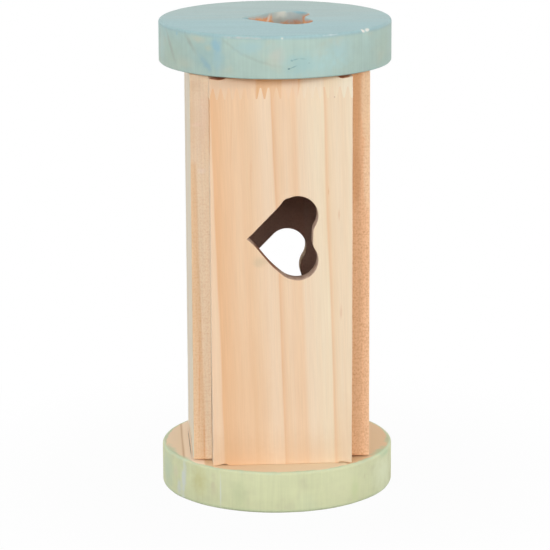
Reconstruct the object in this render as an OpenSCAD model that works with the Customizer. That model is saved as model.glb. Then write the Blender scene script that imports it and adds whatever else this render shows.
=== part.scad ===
// Wooden treat roller for small pets.
// Four pine panels stand on the sides of a square chamber, between two round end discs.
// Blind dowels join the ends of the panels to the discs.
// Treats go in and drop out through heart-shaped cut-outs in the top disc, the front and the back.
// Millimetres, +Z up. The origin is the centre of the base disc's underside, and the front faces -Y.

/* [Discs] */
// Diameter of the top disc
top_d = 80; // [79:0.5:110]
// Diameter of the base disc, which is a little larger
base_d = 81; // [79:0.5:110]
// Thickness of each end disc
disc_t = 14.5; // [10:0.5:24]
// Rounding of the discs' outer edges
disc_edge_r = 1; // [0.4:0.1:3]

/* [Panels] */
// Clear height of the chamber between the two discs
chamber_h = 136.3; // [110:0.1:200]
// Width of each panel
panel_w = 48; // [44:0.5:48.5]
// Thickness of each panel
panel_t = 6.5; // [6:0.25:7.5]
// Chamfer on the panels' sawn edges
panel_edge = 0.3; // [0.2:0.1:1]
// Gap between the inner corners of neighbouring panels
corner_gap = 0.1; // [0.05:0.05:0.4]
// Gap under the side panels, which are pinned a little above the base disc
side_base_gap = 0.5; // [0.1:0.1:1.2]
// Gap that the side panels leave under the top disc
side_top_gap = 0.4; // [0.1:0.1:0.8]

/* [Hearts] */
// Length of a heart from its point to the ends of its lobes
heart_len = 24; // [20:0.5:26]
// Width of a heart across its lobes
heart_w = 29.2; // [26:0.2:33]
// Radius of a heart's lobes
lobe_r = 6.9; // [6:0.1:7.2]
// Depth of the hollow between the lobes
notch_depth = 2.2; // [1.4:0.1:3]
// How far a heart's middle lies from the centre line, towards its lobes
heart_shift = 0.4; // [-1:0.1:1]
// How far the front heart lies above the middle of the chamber, and the back heart below it
heart_rise = 11.8; // [0:0.2:30]

/* [Finger joint] */
// Length of the fingers that join the end block to the front panel
finger_len = 3.8; // [2:0.1:8]
// Spacing of the fingers, before they are fitted to the panel's width
finger_spacing = 2.7; // [2:0.1:6]
// Width of a finger's blunt tip
finger_tip = 0.5; // [0.3:0.1:0.8]
// Height of the end block above the tips of the panel's fingers
end_block_h = 3.5; // [2.5:0.1:8]

/* [Dowels] */
// Diameter of the dowels
dowel_d = 4; // [3:0.1:4.5]
// Distance between the two dowels at a panel's end
dowel_spacing = 28; // [20:0.5:34]
// Depth of a dowel below the face of a disc that its panel meets
dowel_in_panel = 12; // [8:0.5:20]
// Wood left between a dowel and a disc's outer face
dowel_cover = 4; // [2:0.25:6]
// Chamfer on the dowels' ends
dowel_chamfer = 0.6; // [0.3:0.1:1]
// Glue space around a dowel
dowel_fit = 0.05; // [0.02:0.01:0.1]
// Glue space beyond each end of a dowel
dowel_end_space = 0.5; // [0.2:0.1:1]

/* [Hidden] */

// Round faces
$fn = 96;
// Room by which a cut runs past the face that it opens
past = 1;

pine = "burlywood";
end_block_pine = "tan";
sky_paint = "lightblue";
mint_paint = "darkseagreen";
beech = "peru";

// Levels, from the floor up
base_top = disc_t;
roof = disc_t + chamber_h;
chamber_middle = disc_t + chamber_h / 2;

// Distance from the axis to the inner face and the middle of a panel
panel_inner = panel_w / 2 + corner_gap;
panel_mid = panel_inner + panel_t / 2;
// The four panels are cut to one length. The front and back ones stand on the base disc.
panel_len = chamber_h - side_base_gap - side_top_gap;

// A half turn about the axis carries the front to the back, and a quarter turn carries it to the right
front_turn = 0;
right_turn = 90;
back_turn = 180;
left_turn = 270;

// Heart, lying along X with its point at the origin
lobe_x = heart_len - lobe_r;
lobe_y = heart_w / 2 - lobe_r;
lobe_reach = norm([lobe_x, lobe_y]);
flank_angle = atan(lobe_y / lobe_x) + asin(lobe_r / lobe_reach);
flank_end = [lobe_x - lobe_r * sin(flank_angle), lobe_y + lobe_r * cos(flank_angle)];
// The hollow's arc touches both lobes, and its bottom lies notch_depth short of the lobes' ends
notch_r = ((lobe_r - notch_depth) ^ 2 + lobe_y ^ 2 - lobe_r ^ 2) / (2 * notch_depth);
notch_x = heart_len - notch_depth + notch_r;
notch_end = [lobe_x, lobe_y] + lobe_r / (lobe_r + notch_r) * [notch_x - lobe_x, -lobe_y];

// Fingers that divide the panel's width evenly
finger_count = round(panel_w / finger_spacing);
finger_pitch = panel_w / finger_count;
front_top = base_top + panel_len;
finger_top = front_top - end_block_h;
finger_root = finger_top - finger_len;

// Dowels
dowel_in_disc = disc_t - dowel_cover;
dowel_len = dowel_in_disc + dowel_in_panel;
base_dowel_z = dowel_cover;
top_dowel_z = roof - dowel_in_panel;

// Outline of one heart, between two straight flanks, two round lobes and the hollow between them
module heart_outline() {
    difference() {
        union() {
            polygon([
                [0, 0], flank_end, [lobe_x, lobe_y], notch_end,
                [notch_end.x, -notch_end.y], [lobe_x, -lobe_y], [flank_end.x, -flank_end.y]
            ]);
            for (side = [-1, 1]) translate([lobe_x, side * lobe_y]) circle(r = lobe_r);
        }
        translate([notch_x, 0]) circle(r = notch_r);
    }
}

// Heart cut-out of the given depth along Z, centred on the origin in X and Y
module heart_cut(depth) {
    translate([heart_shift - heart_len / 2, 0, -past])
        linear_extrude(depth + 2 * past) heart_outline();
}

// Rectangle whose corners are cut off, centred on the origin
module cut_rectangle(width, height, corner) {
    half_w = width / 2;
    half_h = height / 2;
    polygon([
        [-half_w + corner, -half_h], [half_w - corner, -half_h],
        [half_w, -half_h + corner], [half_w, half_h - corner],
        [half_w - corner, half_h], [-half_w + corner, half_h],
        [-half_w, half_h - corner], [-half_w, -half_h + corner]
    ]);
}

// Plain sawn board with broken edges, at the front, with the given gap between it and the base disc
module board(base_gap = 0) {
    translate([0, -panel_mid, base_top + base_gap])
        intersection() {
            linear_extrude(panel_len) cut_rectangle(panel_w, panel_t, panel_edge);
            translate([-panel_w / 2, 0, panel_len / 2])
                rotate([90, 0, 90]) linear_extrude(panel_w) cut_rectangle(panel_t, panel_len, panel_edge);
        }
}

// Both dowels at one end of the front panel, from level z up, grown by the given room
module dowel_pair(z, side_room = 0, end_room = 0, chamfer = 0) {
    for (side = [-1, 1])
        translate([side * dowel_spacing / 2, -panel_mid, z - end_room])
            dowel(dowel_d / 2 + side_room, dowel_len + 2 * end_room, chamfer);
}

// Round rod, with chamfered ends where a chamfer is given
module dowel(radius, length, chamfer) {
    if (chamfer > 0)
        rotate_extrude() polygon([
            [0, 0], [radius - chamfer, 0], [radius, chamfer],
            [radius, length - chamfer], [radius - chamfer, length], [0, length]
        ]);
    else
        cylinder(r = radius, h = length);
}

// Holes for the dowels at both ends of the front panel
module front_dowel_holes() {
    for (z = [base_dowel_z, top_dowel_z]) dowel_pair(z, dowel_fit, dowel_end_space);
}

// Holes for the dowels of all four panels
module dowel_holes() {
    for (turn = [front_turn, right_turn, back_turn, left_turn]) rotate(turn) front_dowel_holes();
}

// Round blank of an end disc, with rounded rims, from level 0 up
module disc_blank(diameter) {
    radius = diameter / 2;
    rotate_extrude() union() {
        square([radius - disc_edge_r, disc_t]);
        translate([0, disc_edge_r]) square([radius, disc_t - 2 * disc_edge_r]);
        for (z = [disc_edge_r, disc_t - disc_edge_r])
            translate([radius - disc_edge_r, z]) circle(r = disc_edge_r);
    }
}

// Region of the front panel that belongs to the end block: all that lies above the zigzag of the fingers
module end_block_region() {
    slope = finger_pitch / 2 - finger_tip;
    zigzag = [
        for (i = [0 : finger_count - 1])
            let (x = i * finger_pitch - panel_w / 2)
                for (step = [
                    [0, finger_root], [slope, finger_top],
                    [slope + finger_tip, finger_top], [2 * slope + finger_tip, finger_root]
                ])
                    [x + step.x, step.y]
    ];
    outline = concat(
        [[-panel_w / 2 - past, front_top + past], [-panel_w / 2 - past, finger_root]],
        zigzag,
        [[panel_w / 2 + past, finger_root], [panel_w / 2 + past, front_top + past]]
    );
    translate([0, -panel_inner + past, 0])
        rotate([90, 0, 0]) linear_extrude(panel_t + 2 * past) polygon(outline);
}

// Front board with its heart and dowel holes. The heart lies at the given level.
module heart_board(heart_z) {
    difference() {
        board();
        translate([0, -panel_inner, heart_z]) rotate([90, 0, 0]) heart_cut(panel_t);
        front_dowel_holes();
    }
}

// Side board with its dowel holes, at the front
module plain_board() {
    difference() {
        board(side_base_gap);
        front_dowel_holes();
    }
}

module top_disc() {
    color(sky_paint) difference() {
        translate([0, 0, roof]) disc_blank(top_d);
        translate([0, 0, roof]) heart_cut(disc_t);
        dowel_holes();
    }
}

module base_disc() {
    color(mint_paint) difference() {
        disc_blank(base_d);
        dowel_holes();
    }
}

module front_panel() {
    color(pine) difference() {
        heart_board(chamber_middle + heart_rise);
        end_block_region();
    }
}

module front_panel_end_block() {
    color(end_block_pine) intersection() {
        heart_board(chamber_middle + heart_rise);
        end_block_region();
    }
}

// The back heart points the same way along X as the front one, so it is mirrored as seen from outside
module back_panel() {
    color(pine) mirror([0, 1, 0]) heart_board(chamber_middle - heart_rise);
}

module side_panel(turn) {
    color(pine) rotate(turn) plain_board();
}

module dowels(turn, z) {
    color(beech) rotate(turn) dowel_pair(z, chamfer = dowel_chamfer);
}

top_disc();
base_disc();
front_panel();
front_panel_end_block();
back_panel();
side_panel(left_turn);  // left_panel
side_panel(right_turn);  // right_panel
dowels(front_turn, top_dowel_z);  // front_top_dowels
dowels(back_turn, top_dowel_z);  // back_top_dowels
dowels(left_turn, top_dowel_z);  // left_top_dowels
dowels(right_turn, top_dowel_z);  // right_top_dowels
dowels(front_turn, base_dowel_z);  // front_base_dowels
dowels(back_turn, base_dowel_z);  // back_base_dowels
dowels(left_turn, base_dowel_z);  // left_base_dowels
dowels(right_turn, base_dowel_z);  // right_base_dowels
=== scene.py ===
"""Wooden treat roller: bare pine panels between two stained discs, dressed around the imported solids.

The part's frame is metres, +Z up, with the front at -Y and the origin under the base disc.
Sizes are millimetres where nothing else is said, and a mesh is scaled to metres once, when it is finished.
"""

import logging
import math
from dataclasses import dataclass, field
from enum import Enum
from functools import partial
from typing import Any

import bmesh
import bpy
from mathutils import Matrix, Vector, noise


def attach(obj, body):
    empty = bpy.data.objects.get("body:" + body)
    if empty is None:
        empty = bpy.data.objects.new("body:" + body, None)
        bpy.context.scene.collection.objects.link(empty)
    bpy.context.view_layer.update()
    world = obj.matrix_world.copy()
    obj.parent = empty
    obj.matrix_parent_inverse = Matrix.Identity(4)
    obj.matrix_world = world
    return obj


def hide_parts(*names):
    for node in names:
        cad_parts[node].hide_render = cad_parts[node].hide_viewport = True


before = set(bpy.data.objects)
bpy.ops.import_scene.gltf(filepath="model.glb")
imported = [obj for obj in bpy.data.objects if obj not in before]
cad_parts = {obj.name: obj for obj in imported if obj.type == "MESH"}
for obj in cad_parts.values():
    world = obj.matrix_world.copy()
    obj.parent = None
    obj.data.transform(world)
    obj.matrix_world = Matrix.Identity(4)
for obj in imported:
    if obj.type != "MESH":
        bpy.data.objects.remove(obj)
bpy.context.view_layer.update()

LOG = logging.getLogger("treat_roller")

# Metres in a millimetre
MM = 0.001
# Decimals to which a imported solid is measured, in millimetres
DIGITS = 2
# Longest stretch of a board's outline that stays one edge, in millimetres
STEP = 0.7
# Points closer than this count as one place, in millimetres
TOUCH = 0.01
# Edges that turn by more than this are corners
CORNER = math.radians(40)
# How far a face's normal points along Z: on a face that is shaded flat, on one that belongs to a flat side
# of a board, and at most on an upright one
FLAT = 0.999
FACING = 0.7
UPRIGHT = 0.5
# Room along and across a cut-out for its shift and its eased edges, in millimetres
HEART_ROOM = (2.0, 1.0)
# Waves of the wood's slow unevenness in a millimetre, and the seed that keeps them the same in each run
WAVES = 0.11
WAVES_SEED = 1
# How strongly dry wood bends light
WOOD_IOR = 1.5

# Settings and sockets of nodes that are used often. A Map Range takes its value at 0, the range that this
# comes from at 1 and 2, and the range that it goes to at 3 and 4.
MIX = {"data_type": "RGBA"}
TINT = {"data_type": "RGBA", "blend_type": "MULTIPLY"}
MIX_A = 6
MIX_B = 7
MIX_OUT = 2
SMOOTH = {"interpolation_type": "SMOOTHSTEP"}
NOISE = {"noise_dimensions": "4D"}
# The range that a noise mostly keeps to
NOISE_RANGE = {1: 0.3, 2: 0.7}

Pair = tuple[float, float]
Triple = tuple[float, float, float]
Socket = bpy.types.NodeSocket


def linear(colour: str) -> tuple[float, float, float, float]:
    """Turns an sRGB colour into linear light.

    Args:
        colour: six hex digits, such as "f0d9ba".

    Returns:
        Linear red, green and blue, and an alpha of 1.
    """
    channels = [int(colour[i : i + 2], 16) / 255 for i in (0, 2, 4)]
    red, green, blue = (c / 12.92 if c <= 0.04045 else ((c + 0.055) / 1.055) ** 2.4 for c in channels)
    return red, green, blue, 1.0


@dataclass(frozen=True)
class PackedBox:
    """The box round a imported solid, in millimetres.

    Attributes:
        low: its corner towards -X, -Y and -Z.
        high: the opposite corner.
    """

    low: Triple
    high: Triple

    @classmethod
    def of(cls, node: str) -> "PackedBox":
        """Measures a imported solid.

        Args:
            node: the solid's name.

        Returns:
            Its box.
        """
        axes = list(zip(*(vert.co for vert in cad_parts[node].data.vertices)))
        low = tuple(round(min(axis) / MM, DIGITS) for axis in axes)
        high = tuple(round(max(axis) / MM, DIGITS) for axis in axes)
        return cls(low, high)

    def size(self, axis: int) -> float:
        """Gives its extent along an axis."""
        return round(self.high[axis] - self.low[axis], DIGITS)


class Recipe:
    """The node tree of one material or of the world."""

    def __init__(self, owner: bpy.types.Material | bpy.types.World) -> None:
        """Starts the owner's tree afresh."""
        owner.use_nodes = True
        self.owner = owner
        self.tree = owner.node_tree
        self.tree.nodes.clear()

    def add(
        self,
        kind: str,
        settings: dict[str, Any] | None = None,
        inputs: dict[str | int, Any] | None = None,
        out: str | int = 0,
    ) -> Socket | None:
        """Adds one node.

        Args:
            kind: the node's type, without the words ShaderNode.
            settings: the node's own properties. The key "stops" holds a colour ramp's places and colours.
            inputs: a value or another node's socket for each input.
            out: which output is wanted.

        Returns:
            That output, or nothing where the node has none.
        """
        node = self.tree.nodes.new("ShaderNode" + kind)
        for key, value in (settings or {}).items():
            if key == "stops":
                ramp = node.color_ramp.elements
                while len(ramp) < len(value):
                    ramp.new(1.0)
                for stop, (place, colour) in zip(ramp, value):
                    stop.position = place
                    stop.color = linear(colour)
            else:
                setattr(node, key, value)
        for key, value in (inputs or {}).items():
            if isinstance(value, Socket):
                self.tree.links.new(value, node.inputs[key])
            else:
                node.inputs[key].default_value = value
        return node.outputs[out] if node.outputs else None

    def surface(self, shader: Socket) -> bpy.types.Material:
        """Gives the material its surface and returns it."""
        self.add("OutputMaterial", inputs={"Surface": shader})
        return self.owner

    def wood_surface(
        self, colour: Socket, rough: Socket | float, gloss: float, height: Socket, relief: Pair
    ) -> bpy.types.Material:
        """Finishes the material as wood, with its relief and its sheen.

        Args:
            colour: the wood's colour.
            rough: its roughness.
            gloss: its specular level.
            height: the pattern that stands out from it.
            relief: how strongly that shows, and how far it stands out in millimetres.

        Returns:
            The material.
        """
        strength, depth = relief
        bump = self.add("Bump", None, {"Strength": strength, "Distance": depth * MM, "Height": height})
        look = {"Base Color": colour, "Roughness": rough, "IOR": WOOD_IOR, "Specular IOR Level": gloss}
        return self.surface(self.add("BsdfPrincipled", None, {**look, "Normal": bump}))


@dataclass(frozen=True)
class MarkAndPaintedLight:
    """A mark at one place on a piece: a chip, a pool of stain, a fleck or a smudge, and also painted shade,
    painted shadow, painted highlight and painted reflection.

    Attributes:
        centre: its middle, in millimetres in the part's frame.
        reach: its half sizes in millimetres, before it is turned.
        tint: its colour.
        strength: how much of the tint covers what lies under it.
        lean: turn about Y in degrees, as seen from the front.
        round_to: turn about Z in degrees, which carries the front of a rim round to the mark.
        rag: how ragged its outline is.
        fade: where its edge starts to fade, from 0 at its middle to 1 at its outline.
    """

    centre: Triple
    reach: Triple
    tint: str
    strength: float = 1.0
    lean: float = 0.0
    round_to: float = 0.0
    rag: float = 0.9
    fade: float = 0.1

    @classmethod
    def at_rim(
        cls,
        radius: float,
        bearing: float,
        level: float,
        reach: Triple,
        tint: str,
        strength: float,
        **look: float,
    ) -> "MarkAndPaintedLight":
        """Makes a mark on the rim of a disc.

        Args:
            radius: distance from the axis, in millimetres.
            bearing: degrees round from the front, to the right.
            level: height above the floor, in millimetres.
            reach: its half sizes along the rim, through it and upwards.
            tint: its colour.
            strength: how much of the tint covers what lies under it.
            look: its lean, rag or fade, where they aren't the usual ones.

        Returns:
            The mark, turned to its part of the rim.
        """
        turn = math.radians(bearing)
        centre = (radius * math.sin(turn), -radius * math.cos(turn), level)
        return cls(centre, reach, tint, strength, round_to=bearing, **look)

    def lay(self, recipe: Recipe, wood: dict[str, Socket], colour: Socket) -> Socket:
        """Lays the mark over a colour.

        Args:
            recipe: the material's nodes.
            wood: the grain's sockets.
            colour: what lies under the mark.

        Returns:
            The colour with the mark on it.
        """
        turn = (0.0, math.radians(self.lean), math.radians(self.round_to))
        spot = recipe.add(
            "Mapping",
            {"vector_type": "TEXTURE"},
            {
                "Vector": wood["place"],
                "Location": [c * MM for c in self.centre],
                "Rotation": turn,
                "Scale": [r * MM for r in self.reach],
            },
        )
        far = recipe.add("VectorMath", {"operation": "LENGTH"}, {0: spot}, "Value")
        wide = recipe.add("Math", {"operation": "MULTIPLY_ADD"}, {0: wood["ragged"], 1: self.rag, 2: far})
        inner = self.fade + self.rag / 2
        outer = 1 + self.rag / 2
        cover = recipe.add("MapRange", SMOOTH, {0: wide, 1: inner, 2: outer, 3: self.strength, 4: 0.0})
        return recipe.add("Mix", MIX, {0: cover, MIX_A: colour, MIX_B: linear(self.tint)}, MIX_OUT)


@dataclass(frozen=True)
class Year:
    """One year's growth, as it crosses a board.

    Attributes:
        edge: where it starts, in millimetres across the board, at the level of the floor.
        near: colour of the wood next to that edge.
        far: colour of the wood on its other side, before the next year.
        soft: half the width over which the edge itself blurs, in millimetres.
    """

    edge: float
    near: str
    far: str
    soft: float = 0.3


@dataclass(frozen=True)
class Grain:
    """How a piece of pine was cut from its log.

    Attributes:
        years: the years that cross the piece, from -X to +X.
        seed: tells one stick of wood from the next.
        turn: rotation in degrees that lays the fibres along the pattern's Z axis.
        slant: how far the years move across for each millimetre through the board.
        face: how far the face at which the years are placed lies before the axis, in millimetres.
        wander: how far a year's edge strays from a straight line, in millimetres.
        fray: how far the streaks draw it out along the board, in millimetres.
        last: width that is drawn of the last year, in millimetres.
        ripe: share of a year's width over which its wood turns from one colour to the other.
    """

    years: tuple[Year, ...]
    seed: float
    turn: Triple = (0.0, 0.0, 0.0)
    slant: float = 0.0
    face: float = -PackedBox.of("front_panel").low[1]
    wander: float = 0.7
    fray: float = 1.2
    last: float = 12.0
    ripe: float = 0.68

    def lay(self, recipe: Recipe) -> dict[str, Socket]:
        """Adds the grain as a pattern in the solid wood.

        Args:
            recipe: the material's nodes.

        Returns:
            place: Object coordinates. fibres: millimetres, with the fibres along Z. colour: the years.
            bend, streak, fibre, blotch and ragged: noises around 0.5.
        """
        place = recipe.add("TexCoord", out="Object")
        turn = [math.radians(t) for t in self.turn]
        fibres = recipe.add(
            "Mapping",
            None,
            {"Vector": place, "Location": (0.0, self.face, 0.0), "Rotation": turn, "Scale": [1 / MM] * 3},
        )
        wood: dict[str, Socket] = {"place": place, "fibres": fibres}
        # Size of each noise across the fibres and along them, in millimetres
        sizes = {
            "bend": (26, 120),
            "streak": (2.4, 55),
            "fibre": (0.45, 15),
            "blotch": (8, 20),
            "ragged": (2.2, 2.2),
        }
        for name, (wide, long) in sizes.items():
            fine = recipe.add("VectorMath", {"operation": "DIVIDE"}, {0: fibres, 1: (wide, wide, long)})
            wood[name] = recipe.add(
                "TexNoise", NOISE, {"Vector": fine, "W": self.seed, "Scale": 1.0, "Detail": 2.0}
            )
        crossing = (1.0, self.slant, 0.0)
        slope = recipe.add("VectorMath", {"operation": "DOT_PRODUCT"}, {0: fibres, 1: crossing}, "Value")
        # The noise strays by up to about a quarter from its middle
        across = slope
        for name, most in (("bend", 4 * self.wander), ("streak", self.fray)):
            stray = recipe.add("Math", {"operation": "SUBTRACT"}, {0: wood[name], 1: 0.5})
            across = recipe.add("Math", {"operation": "MULTIPLY_ADD"}, {0: stray, 1: most, 2: across})
        first, last = self.span()
        share = recipe.add("MapRange", None, {0: across, 1: first, 2: last, 3: 0.0, 4: 1.0})
        wood["colour"] = recipe.add("ValToRGB", {"stops": self.stops()}, {"Fac": share})
        return wood

    def span(self) -> Pair:
        """Gives the places where the drawn years start and end, in millimetres."""
        return self.years[0].edge, self.years[-1].edge + self.last

    def stops(self) -> list[tuple[float, str]]:
        """Lays the years out on a ramp, each crisp at one edge and then slowly paler.

        Returns:
            Places from 0 to 1, and their colours.
        """
        first, last = self.span()
        rows = [*self.years, Year(last, self.years[-1].near, self.years[-1].far)]
        stops: list[tuple[float, str]] = []
        for year, after in zip(rows, rows[1:]):
            width = after.edge - year.edge
            for place, colour in (
                (year.edge + year.soft, year.near),
                (year.edge + self.ripe * width, year.far),
                (after.edge - after.soft, year.far),
            ):
                stops.append(((place - first) / (last - first), colour))
        return stops


@dataclass(frozen=True)
class PlanedPine:
    """Pine planed and lightly sanded, and left bare.

    Pale first wood turns slowly to orange last wood and stops at a line, so a year reads as a soft band with
    one crisp side. Fibres show as fine streaks along the board, and the surface is matt.

    Attributes:
        name: the material's name.
        grain: how the board was cut.
        marks: what shows at one place only.
        streaks: how strongly the broad streaks darken the wood.
    """

    name: str
    grain: Grain
    marks: tuple[MarkAndPaintedLight, ...] = ()
    streaks: float = 0.035

    def make(self) -> bpy.types.Material:
        """Builds the material.

        Returns:
            The new material.
        """
        recipe = Recipe(bpy.data.materials.new(self.name))
        wood = self.grain.lay(recipe)
        # A streak takes more from the blue than from the red, so it looks warmer
        broad = recipe.add("MapRange", None, {0: wood["streak"], 1: 0.35, 2: 0.68, 3: 0.0, 4: 1.0})
        warm = (1 - self.streaks / 2, 1 - self.streaks * 1.6, 1 - self.streaks * 2.6, 1.0)
        colour = recipe.add("Mix", TINT, {0: broad, MIX_A: wood["colour"], MIX_B: warm}, MIX_OUT)
        light = recipe.add("MapRange", None, {0: wood["fibre"], **NOISE_RANGE, 3: 0.965, 4: 1.03})
        colour = recipe.add("Mix", TINT, {0: 1.0, MIX_A: colour, MIX_B: light}, MIX_OUT)
        for mark in self.marks:
            colour = mark.lay(recipe, wood, colour)
        rough = recipe.add("MapRange", None, {0: wood["fibre"], **NOISE_RANGE, 3: 0.54, 4: 0.44})
        return recipe.wood_surface(colour, rough=rough, gloss=0.5, height=wood["fibre"], relief=(0.2, 0.1))


@dataclass(frozen=True)
class SawnPine:
    """Pine as the saw left it.

    Torn fibres make a speckled, duller surface, crossed by the saw's fine marks.

    Attributes:
        name: the material's name.
        grain: how the board was cut.
        dull: colour that the torn surface tends to.
        dulled: how far it tends there.
        torn: colour of the deepest tears.
        marks: what shows at one place only.
        tearing: how strongly the tears show.
    """

    name: str
    grain: Grain
    dull: str = "dcbd9b"
    dulled: float = 0.5
    torn: str = "b98d66"
    marks: tuple[MarkAndPaintedLight, ...] = ()
    tearing: float = 0.24

    def make(self) -> bpy.types.Material:
        """Builds the material.

        Returns:
            The new material.
        """
        recipe = Recipe(bpy.data.materials.new(self.name))
        wood = self.grain.lay(recipe)
        dull = linear(self.dull)
        colour = recipe.add("Mix", MIX, {0: self.dulled, MIX_A: wood["colour"], MIX_B: dull}, MIX_OUT)
        for mark in self.marks:
            colour = mark.lay(recipe, wood, colour)
        # The saw's marks and the torn fibres are about 0.6 mm wide, which is as fine as the picture shows
        cuts: list[Socket] = []
        for size in ((2.6, 2.6, 0.5), (0.6, 0.6, 0.8)):
            fine = recipe.add("VectorMath", {"operation": "DIVIDE"}, {0: wood["fibres"], 1: size})
            pattern = {"Vector": fine, "W": self.grain.seed, "Scale": 1.0, "Detail": 2.0}
            cuts.append(recipe.add("TexNoise", NOISE, pattern))
        cut = recipe.add("Math", {"operation": "MULTIPLY_ADD"}, {0: cuts[0], 1: 0.5, 2: cuts[1]})
        # The saw ran cleaner towards the upper end
        rough_z = 95.0
        clean_z = 135.0
        level = recipe.add("SeparateXYZ", None, {0: wood["fibres"]}, "Z")
        least = self.tearing / 2
        most = recipe.add("MapRange", None, {0: level, 1: rough_z, 2: clean_z, 3: self.tearing, 4: least})
        speck = recipe.add("MapRange", None, {0: cut, 1: 0.67, 2: 1.05, 3: 0.0, 4: most})
        colour = recipe.add("Mix", MIX, {0: speck, MIX_A: colour, MIX_B: linear(self.torn)}, MIX_OUT)
        long = recipe.add("MapRange", None, {0: wood["fibre"], **NOISE_RANGE, 3: 0.96, 4: 1.03})
        colour = recipe.add("Mix", TINT, {0: 1.0, MIX_A: colour, MIX_B: long}, MIX_OUT)
        return recipe.wood_surface(colour, rough=0.8, gloss=0.25, height=cut, relief=(0.35, 0.2))


@dataclass(frozen=True)
class Ring:
    """A year that shows through the stain as a faint line.

    Attributes:
        radius: distance from the log's middle, in millimetres.
        start: where along X the line starts.
        end: where it has faded.
        strength: how plainly it shows.
        soft: half its width, in millimetres.
        grow: distance over which it comes up, in millimetres.
        wane: distance over which it fades, in millimetres.
    """

    radius: float
    start: float
    end: float
    strength: float
    soft: float = 0.9
    grow: float = 2.0
    wane: float = 8.0


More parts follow.
